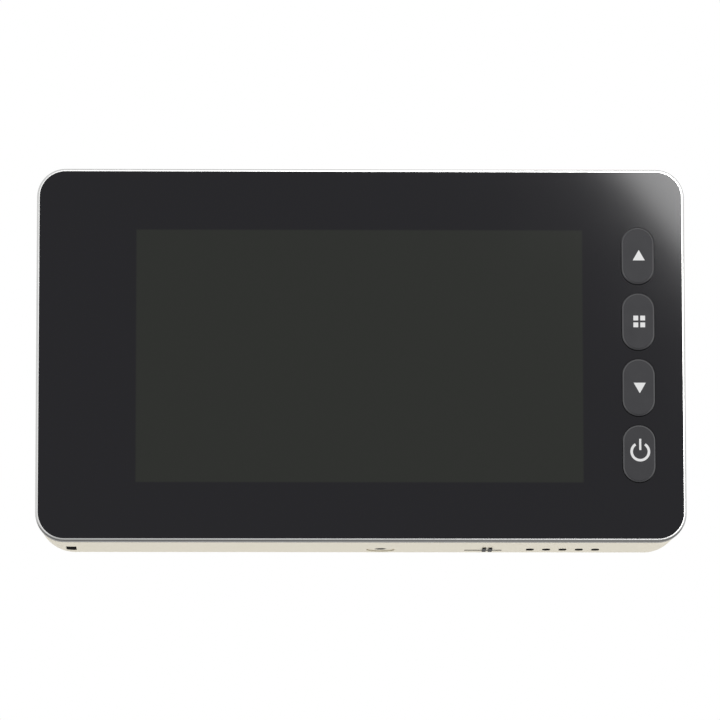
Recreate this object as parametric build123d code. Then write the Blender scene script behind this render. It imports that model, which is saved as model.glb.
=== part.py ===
from build123d import *
import math
import os

# Door viewer in millimetres. X runs across the door, Z is up and Y points out through the door.
# Y is zero at the door's inner face, and the origin is on the axis of the hole through the door.
# A flat monitor hangs on a bracket indoors, and a camera with a bell push is outdoors.

# Monitor front: a black acrylic panel let into a bright ring
panel_corner = 5.5
panel_thick = 1.5
panel_recess = 0.15
panel_play = 0.05
ring_lip = 0.55
ring_depth = 2.4
ring_round = 0.4
ring_seam = 0.1
tape_thick = 0.2
window_width = 95.1
window_height = 54.8
window_x = -0.3
window_z = -0.2
screen_edge = 5.85

# Monitor back: a moulded housing whose corners grow rounder towards the door
body_depth = 23.0
body_inset = 0.1
back_air = 0.8
wall = 1.8
rear_corner = 8.3
rear_round = 3.2
fit = 0.15
air = 0.3

# Screen module
lcd_side_border = 5.2
lcd_end_border = 6.2
lcd_depth = 3.0
lcd_glass_thick = 1.3
lcd_glass_margin = 0.4
lcd_corner = 0.8
lcd_pocket_play = 0.2
lcd_clip_width = 6.0
lcd_clip_reach = 1.0
lcd_clip_thick = 0.6
lcd_clip_slope = 1.0
flex_width = 30.0
flex_thick = 0.3
flex_side = 26.3
flex_run = 10.0
flex_bend = 1.6
flex_socket_depth = 2.2
flex_socket_height = 3.2

# Keys in a column to the right of the screen
key_width = 6.85
key_height = 12.2
key_to_screen = 1.825
key_edge = 9.4
key_proud = 0.6
key_gap = 0.15
key_bevel = 0.35
key_travel = 0.35
key_flange_lip = 0.9
key_flange_thick = 0.7
key_post_radius = 1.4
press_margin = 0.1
frame_floor = 1.0
key_pocket_depth = 2.0
key_pocket_margin = 0.5
tact_side = 4.5
tact_height = 1.6
tact_plunger_radius = 1.0
tact_plunger_height = 0.45
key_board_width = 11.0
key_board_margin = 1.0
key_board_thick = 1.0
key_rest_width = 6.0
key_rest_depth = 2.6
header_width = 2.4
header_length = 13.0

# Battery bay with three cells standing side by side
cell_radius = 7.25
cell_length = 50.5
cell_nub_radius = 2.75
cell_nub_height = 1.0
cell_edge = 0.6
cell_pitch = 14.9
cell_count = 3
bay_edge = 5.15
bay_end = 12.3
bay_z = 0.5
bay_side_play = 0.2
bay_wall = 1.0
contact_thick = 0.4
contact_spring = 2.5
contact_width = 10.5
contact_span = 11.0
coil_base_radius = 4.2
coil_tip_radius = 3.0
lead_width = 0.8
lead_reach = 2.4
cover_thick = 1.4
cover_lip = 1.15
cover_drop = 8.8
cover_rise = 1.9
cover_corner = 3.6
cover_seat = 1.2
cover_play = 0.2
hook_width = 7.0
hook_thick = 0.6
hook_length = 1.4
hook_spread_share = 0.3
grip_count = 5
grip_pitch = 2.0
grip_rise = 4.5
grip_width = 14.0
grip_depth = 0.4
grip_bar = 0.9
notch_side = 7.3
notch_width = 2.2
notch_length = 5.9
notch_back = 6.5
notch_height = 3.4

# Bracket on the door, and the recess in the monitor's back that takes it
bay_to_recess = 2.0
pad_thick = 0.8
pad_hole_play = 1.75
pad_margin = 1.5
bracket_thick = 1.2
bracket_width = 38.0
bracket_top = 26.0
bracket_bottom = -23.0
bracket_corner = 3.0
recess_play = 1.4
recess_depth = 2.8
recess_wall = 1.2
lift = 5.5
hook_side = 5.0
hook_end = 11.0
tongue_rise = 4.5
bracket_hook_width = 6.0
hook_slot_play = 0.3
tab_width = 11.0
tab_reach = 3.4
tab_pocket_play = 1.2

# Socket screw through the underside into the bracket's tab, its head sunk in the underside
lock_depth = 15.7
lock_radius = 1.4
lock_play = 0.06
lock_head_radius = 2.8
lock_head_height = 1.4
lock_head_air = 0.25
lock_sunk = 0.2
lock_bevel = 0.25
lock_point = 0.9
lock_socket = 2.0
lock_socket_depth = 1.0

# Slide switch and speaker on the underside
slot_side = 22.0
slot_depth = 16.3
slot_length = 8.0
slot_width = 1.4
knob_width = 2.1
knob_travel = 1.6
knob_proud = 0.3
knob_pad = 4.6
knob_air = 0.1
knob_rib = 0.8
knob_groove = 0.25
slider_base_width = 3.8
slider_base_thick = 0.8
slider_base_margin = 0.5
slider_stem = 1.2
slider_stem_reach = 1.2
switch_width = 8.6
switch_depth = 3.8
switch_height = 4.0
switch_lift = 0.5
speaker_side = 17.0
speaker_edge = 21.5
speaker_depth = 15.1
speaker_length = 18.0
speaker_breadth = 9.0
speaker_height = 4.0
speaker_gasket_thick = 0.5
speaker_gasket_rim = 1.2
cradle_wall = 1.0
cradle_height = 2.4
hole_count = 5
hole_pitch = 3.5
hole_width = 1.7
hole_length = 3.6

# Main board, its posts and its parts
board_thick = 1.2
board_front = 10.8
board_left_gap = 1.4
board_side = 12.2
board_end = 4.15
board_foot = 6.15
board_toe_width = 13.0
board_toe_drop = 3.6
board_notch_gap = 0.8
post_radius = 2.2
post_play = 0.3
screw_radius = 1.0
screw_play = 0.04
screw_head_radius = 1.9
screw_head_height = 1.2
screw_bite = 5.0
housing_screw_side = 6.45
housing_screw_end = 4.95
well_wall = 0.8
well_seat = 2.0
well_depth = 13.6
chip_side = 14.0
chip_height = 1.4
memory_width = 10.0
memory_height = 12.0
memory_thick = 1.0
coil_side = 4.0
coil_height = 2.0
capacitor_radius = 2.0
capacitor_height = 3.2
can_width = 18.0
can_height = 15.0
can_depth = 2.2
processor_x_share = 0.25
processor_z_share = 0.62
memory_x_share = 0.5
coil_x_share = 0.12
coil_z_share = 0.88
capacitor_x_shares = (0.24, 0.34)
can_x_share = 0.78
can_z_share = 0.72

# Ribbon from the camera, its plug and its socket
ribbon_width = 8.0
ribbon_thick = 0.8
ribbon_bend = 1.8
ribbon_forward = 3.6
plug_width = 11.0
plug_depth = 4.0
plug_height = 8.0
plug_rise = 9.0
plug_in = 4.0
plug_play = 0.2
socket_wall = 1.2
socket_cap = 3.0
socket_pins = 5
socket_pin_radius = 0.3
socket_pin_pitch = 2.0
pocket_play = 0.6
pocket_depth = 8.7

# Through the door
door_thick = 40.0
barrel_radius = 6.75
barrel_length = 22.0
barrel_flange_lip = 4.25
barrel_flange_thick = 1.6
ribbon_slot_play = 0.5
clamp_inset = 2.15
clamp_radius = 1.2
clamp_play = 0.05
clamp_hole_play = 0.25
clamp_head_radius = 2.3
clamp_head_height = 1.4
clamp_bite = 12.0
clamp_tail = 2.0

# Outdoor camera
gasket_thick = 0.8
outer_z = -1.0
outer_corner = 9.0
outer_depth = 15.2
outer_wall = 2.8
outer_back = 1.8
outer_round = 1.2
face_thick = 1.2
face_lip = 1.0
seal_thick = 0.3
seal_width = 0.9
lens_edge = 16.5
lens_radius = 6.0
lens_hole_play = 1.2
lens_barrel_front = 1.0
lens_rim = 1.0
lens_glass_rise = 1.1
lens_glass_thick = 1.6
lens_ring_width = 1.2
lens_ring_proud = 0.9
lens_holder_side = 13.0
lens_holder_height = 5.5
sensor_side = 8.0
sensor_thick = 1.0
camera_board_thick = 1.2
camera_post_height = 2.2
camera_post_radius = 2.4
camera_screw_x = 13.2
camera_screw_side = 5.0
camera_screw_end = 4.7
camera_screw_bite = 1.8
infrared_radius = 1.5
infrared_height = 7.4
infrared_bevel = 0.6
infrared_air = 0.4
infrared_count = 4
lens_to_bell = 24.0
bell_edge = 12.5
bell_radius = 7.2
bell_proud = 0.7
bell_gap = 0.2
bell_bevel = 0.5
bell_travel = 0.6
bell_flange_lip = 0.9
bell_flange_thick = 0.8
bell_post_radius = 2.0
bell_ring_width = 1.5
bell_ring_proud = 0.5
bell_switch_side = 6.0
bell_switch_height = 2.6
bell_plunger_height = 0.6
bell_plunger_radius = 1.6

# A cutter runs past the face it opens by this much
over = 1.0

# Widths and heights that the pieces inside need
lcd_width = window_width + 2 * lcd_side_border
lcd_height = window_height + 2 * lcd_end_border
bay_width = (cell_count - 1) * cell_pitch + 2 * (cell_radius + bay_side_play)
bay_height = cell_length + contact_spring + 2 * contact_thick + 2 * fit
recess_half = bracket_width / 2 + recess_play
key_pocket_width = key_width + 2 * (key_flange_lip + key_pocket_margin)
key_x = window_x + lcd_width / 2 + key_to_screen + key_pocket_width / 2
works_width = (bay_edge + bay_width + cover_lip + bay_to_recess + recess_half + slot_side + speaker_side
               + speaker_edge)

# Outlines of the monitor, around the screen and the keys or around what is behind them
rim = panel_play + ring_lip
panel_width = max(2 * (key_x + key_edge), works_width - 2 * (rim - body_inset))
panel_height = max(lcd_height + 2 * screen_edge, bay_height + 2 * bay_end)
ring_width = panel_width + 2 * rim
ring_height = panel_height + 2 * rim
ring_corner = panel_corner + rim
body_width = ring_width - 2 * body_inset
body_height = ring_height - 2 * body_inset
cavity_width = body_width - 2 * wall
cavity_height = body_height - 2 * wall
cavity_corner = rear_corner - wall
frame_width = cavity_width - 2 * fit
frame_height = cavity_height - 2 * fit
floor_z = -cavity_height / 2
underside_z = -body_height / 2

# Places from front to back
back_y = -back_air
front_y = back_y - body_depth
panel_front = front_y + panel_recess
panel_back = panel_front + panel_thick
tape_back = panel_back + tape_thick
ring_back = front_y + ring_depth
lcd_back = tape_back + lcd_depth
body_front = ring_back + ring_seam
cover_face = back_y - cover_thick
cell_y = cover_face - air - cell_radius
bay_floor = cell_y - cell_radius - fit
board_y_front = front_y + board_front
board_y_back = board_y_front + board_thick
pad_front = -pad_thick
bracket_front = pad_front - bracket_thick
recess_floor = back_y - recess_depth
pocket_floor = back_y - pocket_depth
lock_y = front_y + lock_depth
slot_y = front_y + slot_depth
speaker_y = front_y + speaker_depth

# Battery bay outlines
bay_left = bay_edge - body_width / 2
bay_right = bay_left + bay_width
bay_x = (bay_left + bay_right) / 2
bay_top = bay_z + bay_height / 2
bay_low = bay_z - bay_height / 2
cover_left = bay_left - cover_lip
cover_right = bay_right + cover_lip
cover_top = bay_top + cover_rise
cover_low = bay_low - cover_drop
cover_width = cover_right - cover_left
cover_height = cover_top - cover_low
cover_x = (cover_left + cover_right) / 2
cover_z = (cover_top + cover_low) / 2
lead_y = bay_floor + fit
notch_x = notch_side - body_width / 2

# Bracket and recess, which both centre on the hole through the door
door_hole_x = cover_right + bay_to_recess + recess_half
hook_x = bracket_width / 2 - hook_side
hook_high_z = bracket_top - hook_end
hook_low_z = bracket_bottom + hook_end
recess_top = bracket_top + recess_play
recess_low = bracket_bottom - lift - recess_play
tab_z = floor_z + wall + lift + recess_play
tab_front = lock_y - tab_reach
tab_half = tab_width / 2 + tab_pocket_play
tab_pocket_floor = tab_front - air
tab_pocket_low = floor_z + wall
tab_pocket_top = max(tab_z, recess_low) + bracket_thick + recess_play
lock_low = underside_z + lock_sunk
lock_shoulder = lock_low + lock_head_height
shelf_front = recess_floor - recess_wall
bracket_tongue_back = shelf_front - air
bracket_tongue_front = bracket_tongue_back - bracket_thick

# Underside and board
slot_x = door_hole_x + slot_side
speaker_x = slot_x + speaker_side
flex_x = window_x + flex_side
board_left = bay_right + bay_wall + board_left_gap
board_right = cavity_width / 2 - board_side
board_top = cavity_height / 2 - board_end
board_bottom = floor_z + board_foot
board_width = board_right - board_left
board_posts = [
    (board_left + post_radius + post_play, board_top - post_radius - post_play),
    (board_right - post_radius - post_play, board_top - post_radius - post_play),
    (board_right - post_radius - post_play, board_bottom + post_radius + post_play),
]
housing_screw_x = cavity_width / 2 - housing_screw_side
housing_screw_z = cavity_height / 2 - housing_screw_end
housing_screws = [(sx * housing_screw_x, sz * housing_screw_z) for sx in (-1, 1) for sz in (-1, 1)]
well_radius = screw_head_radius + fit + well_wall
well_front = back_y - well_depth
well_seat_y = well_front + well_seat

# Key column, from the top down, as tall as the window
key_names = ["button_up", "button_menu", "button_down", "button_power"]
least_pitch = key_height + 2 * key_flange_lip + key_gap
key_pitch = max((window_height - key_height) / (len(key_names) - 1), least_pitch)
key_places = [((len(key_names) - 1) / 2 - row) * key_pitch for row in range(len(key_names))]
key_column = (len(key_names) - 1) * key_pitch + key_height
key_front = panel_front - key_proud
key_flange_front = panel_back + air
key_flange_back = key_flange_front + key_flange_thick
key_pocket_floor = tape_back + key_pocket_depth
key_pocket_height = key_column + 2 * (key_flange_lip + key_pocket_margin)
key_floor_back = key_pocket_floor + frame_floor
key_switch_air = key_travel + press_margin
tact_tip = key_floor_back + key_switch_air
key_board_front = tact_tip + tact_plunger_height + tact_height
key_board_back = key_board_front + key_board_thick
key_board_height = key_column + 2 * key_board_margin
frame_back = max(lcd_back, key_floor_back)

# Ribbon, plug and socket
ribbon_front = bracket_front - ribbon_forward
plug_low = plug_rise
plug_top = plug_low + plug_height
plug_y = ribbon_front - ribbon_thick / 2
socket_low = plug_top - plug_in
socket_top = socket_low + plug_in + plug_play + socket_cap
socket_half = plug_width / 2 + plug_play + socket_wall
pocket_half = socket_half
pocket_low = -ribbon_thick / 2 - lift - pocket_play
pocket_top = socket_top

# Door and outdoor camera
outer_width = 2 * (camera_screw_x + camera_screw_side + outer_wall)
outer_height = lens_edge + lens_to_bell + bell_edge
lens_z = outer_z + outer_height / 2 - lens_edge
bell_z = lens_z - lens_to_bell
infrared_circle = lens_holder_side / 2 * math.sqrt(2) + infrared_radius + infrared_air
lens_hole_radius = lens_radius + lens_hole_play
lens_ring_radius = lens_hole_radius + lens_ring_width
lens_glass_radius = lens_radius - lens_rim
camera_screw_z = outer_height / 2 - outer_wall - camera_screw_end
pad_hole_radius = barrel_radius + pad_hole_play
barrel_flange_radius = barrel_radius + barrel_flange_lip
clamp_z = barrel_radius - clamp_inset
outer_y = door_thick + gasket_thick
outer_inside = outer_y + outer_back
outer_front = outer_y + outer_depth
barrel_end = outer_y - barrel_length
face_back = outer_front - face_thick
seal_back = face_back - seal_thick
camera_board_back = outer_inside + camera_post_height
camera_board_front = camera_board_back + camera_board_thick
cup_room_width = outer_width - 2 * outer_wall
cup_room_height = outer_height - 2 * outer_wall
cup_room_corner = outer_corner - outer_wall
clamp_end = barrel_end + clamp_bite
face_width = cup_room_width + 2 * face_lip
face_height = cup_room_height + 2 * face_lip
face_corner = cup_room_corner + face_lip
bell_flange_out = face_back - air
bell_flange_in = bell_flange_out - bell_flange_thick
bell_switch_face = camera_board_front + bell_switch_height
bell_switch_tip = bell_switch_face + bell_plunger_height
bell_post_end = bell_switch_tip + bell_travel + press_margin
camera_screws = [
    (sx * camera_screw_x, outer_z + sz * camera_screw_z) for sx in (-1, 1) for sz in (-1, 1)
]


def slab(width, height, corner, y_front, y_rear, x=0, z=0):
    """A rounded rectangle facing the door, between two depths."""
    face = Plane((x, y_rear, z), x_dir=(1, 0, 0), z_dir=(0, -1, 0))
    return extrude(face * RectangleRounded(width, height, corner), amount=y_rear - y_front)


def oval(width, height, y_front, y_rear, x=0, z=0):
    """A key's upright oval with round ends, between two depths."""
    face = Plane((x, y_rear, z), x_dir=(1, 0, 0), z_dir=(0, -1, 0))
    return extrude(face * SlotOverall(height, width, rotation=90), amount=y_rear - y_front)


def rod(radius, y_front, y_rear, x=0, z=0):
    """A cylinder along the door hole's axis, between two depths."""
    face = Plane((x, y_rear, z), x_dir=(1, 0, 0), z_dir=(0, -1, 0))
    return extrude(face * Circle(radius), amount=y_rear - y_front)


def upright(radius, z_low, z_high, x, y):
    """A standing cylinder between two heights."""
    return Pos(x, y, (z_low + z_high) / 2) * Cylinder(radius, z_high - z_low)


def block(x_left, x_right, y_front, y_rear, z_low, z_high):
    """A plain box between its six faces."""
    centre = ((x_left + x_right) / 2, (y_front + y_rear) / 2, (z_low + z_high) / 2)
    return Pos(*centre) * Box(x_right - x_left, y_rear - y_front, z_high - z_low)


def body_form(width, height, corner_front, corner_rear, y_front, y_rear, edge_round):
    """A box whose corners grow rounder towards the door, with its rear edge rounded."""
    front = Plane((0, y_front, 0), x_dir=(1, 0, 0), z_dir=(0, -1, 0))
    rear = Plane((0, y_rear, 0), x_dir=(1, 0, 0), z_dir=(0, -1, 0))
    sections = [
        rear * RectangleRounded(width, height, corner_rear),
        front * RectangleRounded(width, height, corner_front),
    ]
    form = loft(sections, ruled=True)
    return fillet(form.edges().group_by(Axis.Y)[-1], edge_round)


def ring_bezel():
    """Bright ring around the panel, with a ledge that the panel rests on."""
    ring = slab(ring_width, ring_height, ring_corner, front_y, ring_back)
    ring = fillet(ring.edges().group_by(Axis.Y)[0], ring_round)
    opening_width = panel_width + 2 * panel_play
    opening_height = panel_height + 2 * panel_play
    opening_corner = panel_corner + panel_play
    ring -= slab(opening_width, opening_height, opening_corner, front_y - over, panel_back)
    return ring - slab(cavity_width, cavity_height, cavity_corner, front_y, ring_back + over)


def front_panel():
    """Black acrylic panel with four oval key openings."""
    panel = slab(panel_width, panel_height, panel_corner, panel_front, panel_back)
    for z in key_places:
        opening = (key_width + 2 * key_gap, key_height + 2 * key_gap)
        panel -= oval(*opening, panel_front - over, panel_back + over, key_x, z)
    return panel


def panel_tape():
    """Adhesive frame between the panel and the front frame, open at the screen and the keys."""
    tape = slab(frame_width, frame_height, cavity_corner, panel_back, tape_back)
    tape -= slab(lcd_width, lcd_height, lcd_corner, panel_back - over, tape_back + over, window_x, window_z)
    pocket = (key_pocket_width, key_pocket_height, key_width / 2)
    return tape - slab(*pocket, panel_back - over, tape_back + over, key_x, 0)


def front_frame():
    """Inner frame that carries the screen, the key guides and the key board, and takes the screws."""
    frame = slab(frame_width, frame_height, cavity_corner, tape_back, frame_back)
    pocket_width = lcd_width + 2 * lcd_pocket_play
    pocket_height = lcd_height + 2 * lcd_pocket_play
    frame -= slab(pocket_width, pocket_height, lcd_corner, tape_back - over, frame_back + over,
                  window_x, window_z)
    pocket = (key_pocket_width, key_pocket_height, key_width / 2)
    frame -= slab(*pocket, tape_back - over, key_pocket_floor, key_x, 0)
    for z in key_places:
        frame -= rod(key_post_radius + air, key_pocket_floor - over, frame_back + over, key_x, z)
    for side in (-1, 1):
        rest_z = side * (key_board_height / 2 - key_rest_depth / 2)
        half = key_rest_depth / 2
        left = key_x - key_rest_width / 2
        right = key_x + key_rest_width / 2
        frame += block(left, right, frame_back - fit, key_board_front, rest_z - half, rest_z + half)
    for x, z in housing_screws:
        frame += rod(well_radius, frame_back - fit, well_front - fit, x, z)
        frame -= rod(screw_radius + screw_play, tape_back + frame_floor, well_front + over, x, z)
    for side in (-1, 1):
        edge = window_z + side * pocket_height / 2
        for x_side in (-1, 1):
            x = window_x + x_side * lcd_width / 4
            half = lcd_clip_width / 2
            inner = edge - side * lcd_clip_reach
            outer = edge + side * lcd_clip_slope
            low, high = sorted((inner, outer))
            frame += block(x - half, x + half, lcd_back, lcd_back + lcd_clip_thick, low, high)
            low, high = sorted((edge, outer))
            frame += block(x - half, x + half, frame_back - fit, lcd_back + lcd_clip_thick, low, high)
    return frame


def lcd_panel():
    """The screen's two glass sheets, bonded as one."""
    width = lcd_width - 2 * lcd_glass_margin
    height = lcd_height - 2 * lcd_glass_margin
    return slab(width, height, lcd_corner, tape_back, tape_back + lcd_glass_thick, window_x, window_z)


def lcd_chassis():
    """Pressed steel tray behind the glass that holds the backlight."""
    glass_back = tape_back + lcd_glass_thick
    tray = slab(lcd_width, lcd_height, lcd_corner, tape_back, lcd_back, window_x, window_z)
    width = lcd_width - 2 * lcd_glass_margin
    height = lcd_height - 2 * lcd_glass_margin
    return tray - slab(width, height, lcd_corner, tape_back - over, glass_back, window_x, window_z)


def bent_strip(path, width, thickness, x):
    """A flat strip that follows a path in the YZ plane, with its section square to the path's start."""
    start = path @ 0
    section_plane = Plane(origin=start, x_dir=(1, 0, 0), z_dir=path % 0)
    return sweep(section_plane * Rectangle(width, thickness), path=path)


def lcd_flex():
    """Thin flex that lies on the tray and turns back into its socket on the main board."""
    lie_y = lcd_back + flex_thick / 2
    low = window_z - lcd_height / 2 + flex_bend
    turn = low + flex_run
    end_y = board_y_front - flex_socket_depth
    route = Polyline((flex_x, lie_y, low), (flex_x, lie_y, turn), (flex_x, end_y, turn))
    path = fillet(route.vertices().sort_by_distance((flex_x, lie_y, turn))[0], flex_bend)
    return bent_strip(path, flex_width, flex_thick, flex_x)


def flex_socket():
    """Socket on the main board that takes the screen's flex."""
    turn = window_z - lcd_height / 2 + flex_bend + flex_run
    half = flex_socket_height / 2
    left = flex_x - flex_width / 2 - socket_wall
    right = flex_x + flex_width / 2 + socket_wall
    return block(left, right, board_y_front - flex_socket_depth, board_y_front, turn - half, turn + half)


def key(z):
    """One oval key: a cap in the panel, a flange behind it and a post to its switch."""
    cap = oval(key_width, key_height, key_front, key_flange_front, key_x, z)
    cap = chamfer(cap.edges().group_by(Axis.Y)[0], key_bevel)
    lip = 2 * key_flange_lip
    flange = oval(key_width + lip, key_height + lip, key_flange_front, key_flange_back, key_x, z)
    post = rod(key_post_radius, key_flange_back, tact_tip - key_switch_air, key_x, z)
    return cap + flange + post


def key_board():
    """Narrow board behind the key column."""
    return slab(key_board_width, key_board_height, panel_thick, key_board_front, key_board_back, key_x, 0)


def key_switches():
    """Four tact switches on the key board, one behind each key."""
    half = tact_side / 2
    switches = []
    for z in key_places:
        face = tact_tip + tact_plunger_height
        body = block(key_x - half, key_x + half, face, key_board_front, z - half, z + half)
        switches.append(body + rod(tact_plunger_radius, tact_tip, face, key_x, z))
    return Compound(switches)


def key_header():
    """Pin header that joins the key board to the main board behind it."""
    left = key_x - key_board_width / 2
    half = header_length / 2
    return block(left, left + header_width / 2, key_board_back, board_y_front, -half, half)


def contact_heights(end):
    """Lowest and highest Z of the contact plates at the bay's upper or lower end."""
    wall_z = bay_z + end * bay_height / 2
    return sorted((wall_z, wall_z - end * contact_thick))


def rear_housing():
    """Moulded housing with the battery bay, the bracket recess, screw wells and speaker holes."""
    outer = body_form(body_width, body_height, ring_corner, rear_corner, body_front, back_y, rear_round)
    inner_back = back_y - wall
    inner = slab(cavity_width, cavity_height, cavity_corner, body_front, inner_back)
    shell = outer - inner

    bay = block(bay_left - bay_wall, bay_right + bay_wall, bay_floor - bay_wall, inner_back,
                bay_low - bay_wall, bay_top + bay_wall)
    seat = block(cover_left - bay_wall, cover_right + bay_wall, inner_back - cover_seat, inner_back,
                 cover_low - bay_wall, cover_top + bay_wall)
    recess = block(door_hole_x - recess_half - recess_wall, door_hole_x + recess_half + recess_wall,
                   recess_floor - recess_wall, inner_back, recess_low - recess_wall, recess_top + recess_wall)
    pocket = block(door_hole_x - pocket_half - recess_wall, door_hole_x + pocket_half + recess_wall,
                   pocket_floor - recess_wall, inner_back, pocket_low - recess_wall, pocket_top + recess_wall)
    tab_room = block(door_hole_x - tab_half - recess_wall, door_hole_x + tab_half + recess_wall,
                     tab_pocket_floor - recess_wall, inner_back, floor_z, tab_pocket_top + recess_wall)
    cradle_side = speaker_length / 2 + fit + cradle_wall
    cradle_deep = speaker_breadth / 2 + fit + cradle_wall
    cradle = block(speaker_x - cradle_side, speaker_x + cradle_side, speaker_y - cradle_deep,
                   speaker_y + cradle_deep, floor_z, floor_z + cradle_height)
    shell += (bay + seat + recess + pocket + tab_room + cradle) & inner
    for x, z in housing_screws:
        shell += rod(well_radius, well_front, inner_back, x, z)
    for x, z in board_posts:
        shell += rod(post_radius, board_y_back, inner_back, x, z)
        shell -= rod(screw_radius + screw_play, board_y_back - over, board_y_back + screw_bite, x, z)

    shell -= block(bay_left, bay_right, bay_floor, back_y + over, bay_low, bay_top)
    shell -= slab(cover_width, cover_height, cover_corner, cover_face, back_y + over, cover_x, cover_z)
    shell -= block(door_hole_x - recess_half, door_hole_x + recess_half, recess_floor, back_y + over,
                   recess_low, recess_top)
    shell -= block(door_hole_x - pocket_half, door_hole_x + pocket_half, pocket_floor, back_y + over,
                   pocket_low, pocket_top)
    shell -= block(door_hole_x - tab_half, door_hole_x + tab_half, tab_pocket_floor, back_y + over,
                   tab_pocket_low, tab_pocket_top)
    for z in (hook_high_z, hook_low_z):
        for side in (-1, 1):
            x = door_hole_x + side * hook_x
            half = bracket_hook_width / 2 + hook_slot_play
            low = z - lift - hook_slot_play
            shell -= block(x - half, x + half, shelf_front - over, recess_floor + over,
                           low, z + bracket_thick)
    for x, z in housing_screws:
        shell -= rod(well_radius - well_wall, well_seat_y, back_y + over, x, z)
        shell -= rod(screw_radius + 2 * screw_play, well_front - over, well_seat_y + over, x, z)
    head_hole = lock_head_radius + lock_head_air
    shell -= upright(head_hole, underside_z - over, lock_shoulder, door_hole_x, lock_y)
    shell -= upright(lock_radius + fit, underside_z, tab_pocket_low + over, door_hole_x, lock_y)
    shell -= block(slot_x - slot_length / 2, slot_x + slot_length / 2, slot_y - slot_width / 2,
                   slot_y + slot_width / 2, underside_z - over, floor_z + over)
    shell -= block(speaker_x - cradle_side + cradle_wall, speaker_x + cradle_side - cradle_wall,
                   speaker_y - cradle_deep + cradle_wall, speaker_y + cradle_deep - cradle_wall, floor_z,
                   floor_z + cradle_height + over)
    for step in range(hole_count):
        x = speaker_x + (step - (hole_count - 1) / 2) * hole_pitch
        under = Plane((x, speaker_y, underside_z - over))
        hole = under * SlotOverall(hole_length, hole_width, rotation=90)
        shell -= extrude(hole, amount=wall + 2 * over)
    notch_rear = back_y - notch_back
    notch_half = notch_width / 2
    shell -= block(notch_x - notch_half, notch_x + notch_half, notch_rear - notch_length, notch_rear,
                   underside_z - over, underside_z + notch_height)
    for side in (-1, 1):
        x = cover_x + side * hook_spread_share * cover_width
        half = hook_width / 2 + cover_play
        front = cover_face - hook_thick
        shell -= block(x - half, x + half, front - 2 * cover_play, cover_face + hook_thick, bay_top - over,
                       cover_top + hook_length + cover_play)
    for end in (1, -1):
        low, high = contact_heights(end)
        shell -= block(bay_right - over, bay_right + bay_wall + over, lead_y - fit, lead_y + lead_width + fit,
                       low - fit, high + fit)
    window = socket_pins * socket_pin_pitch / 2
    pin_z = (socket_low + socket_top) / 2
    shell -= block(door_hole_x - window, door_hole_x + window, pocket_floor - recess_wall - over,
                   pocket_floor + over, pin_z - socket_pin_pitch / 2, pin_z + socket_pin_pitch / 2)
    return shell


def battery_cover():
    """Cover over the cells: two hooks at its top edge and grip bars near its bottom edge."""
    width = cover_width - 2 * cover_play
    height = cover_height - 2 * cover_play
    corner = cover_corner - cover_play
    cover = slab(width, height, corner, cover_face + fit / 2, back_y, cover_x, cover_z)
    top = cover_top - cover_play
    for side in (-1, 1):
        x = cover_x + side * hook_spread_share * cover_width
        half = hook_width / 2
        front = cover_face - hook_thick
        cover += block(x - half, x + half, front + fit / 2, cover_face + fit,
                       top - hook_length, top + hook_length)
    for step in range(grip_count):
        z = cover_low + grip_rise + step * grip_pitch
        groove = (cover_x - grip_width / 2, cover_x + grip_width / 2, back_y - grip_depth, back_y + over)
        cover -= block(*groove, z - grip_bar / 2, z + grip_bar / 2)
    return cover


def cell_places():
    """Each cell's X, and 1 where its raised pole is up or -1 where it is down."""
    middle = (cell_count - 1) / 2
    return [(bay_x + (place - middle) * cell_pitch, 1 - 2 * (place % 2)) for place in range(cell_count)]


def cells():
    """Dry cells that stand side by side, every second one upside down."""
    group = []
    can_length = cell_length - cell_nub_height
    for x, turn in cell_places():
        foot = bay_z - turn * cell_length / 2
        shoulder = foot + turn * can_length
        can = upright(cell_radius, *sorted((foot, shoulder)), x, cell_y)
        can = chamfer(can.edges().filter_by(GeomType.CIRCLE), cell_edge)
        nub = upright(cell_nub_radius, *sorted((shoulder, shoulder + turn * cell_nub_height)), x, cell_y)
        group.append(can + nub)
    return Compound(group)


def contacts():
    """Contact plates that join the cells in a row, with a coil or a button on each cell, and two leads."""
    group = []
    reach = (bay_height - cell_length) / 2 - contact_thick
    half = contact_width / 2
    for end in (1, -1):
        low, high = contact_heights(end)
        inner_z = low if end > 0 else high
        pair_x = bay_x - end * cell_pitch / 2
        lone_x = bay_x + end * cell_pitch
        for x, span in ((pair_x, cell_pitch + contact_span), (lone_x, contact_span)):
            plate = block(x - span / 2, x + span / 2, cell_y - half, cell_y + half, low, high)
            for cell_x, turn in cell_places():
                if abs(cell_x - x) < span / 2:
                    coil = (coil_base_radius, coil_tip_radius)
                    button = (coil_tip_radius, cell_nub_radius)
                    flip = 180 if end > 0 else 0
                    cone = Rotation(flip, 0, 0) * Cone(*(button if turn == end else coil), reach)
                    plate += Pos(cell_x, cell_y, inner_z - end * reach / 2) * cone
            if x == lone_x:
                lead_end = board_left + lead_reach
                plate += block(x - lead_width, x + lead_width, lead_y, cell_y, low, high)
                plate += block(x - lead_width, lead_end, lead_y, lead_y + lead_width, low, high)
                plate += block(lead_end - lead_width, lead_end, lead_y, board_y_front, low, high)
            group.append(plate)
    return Compound(group)


def main_board():
    """Main circuit board with a notch for the bracket's tab and a toe that carries the slide switch."""
    board = block(board_left, board_right, board_y_front, board_y_back, board_bottom, board_top)
    toe_half = board_toe_width / 2
    board += block(slot_x - toe_half, slot_x + toe_half, board_y_front, board_y_back,
                   board_bottom - board_toe_drop, board_bottom)
    notch = tab_half + recess_wall + board_notch_gap
    notch_top = tab_pocket_top + recess_wall + board_notch_gap
    board -= block(door_hole_x - notch, door_hole_x + notch, board_y_front - over, board_y_back + over,
                   board_bottom - over, notch_top)
    for x, z in board_posts:
        board -= rod(screw_radius + screw_play, board_y_front - over, board_y_back + over, x, z)
    return board


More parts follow.
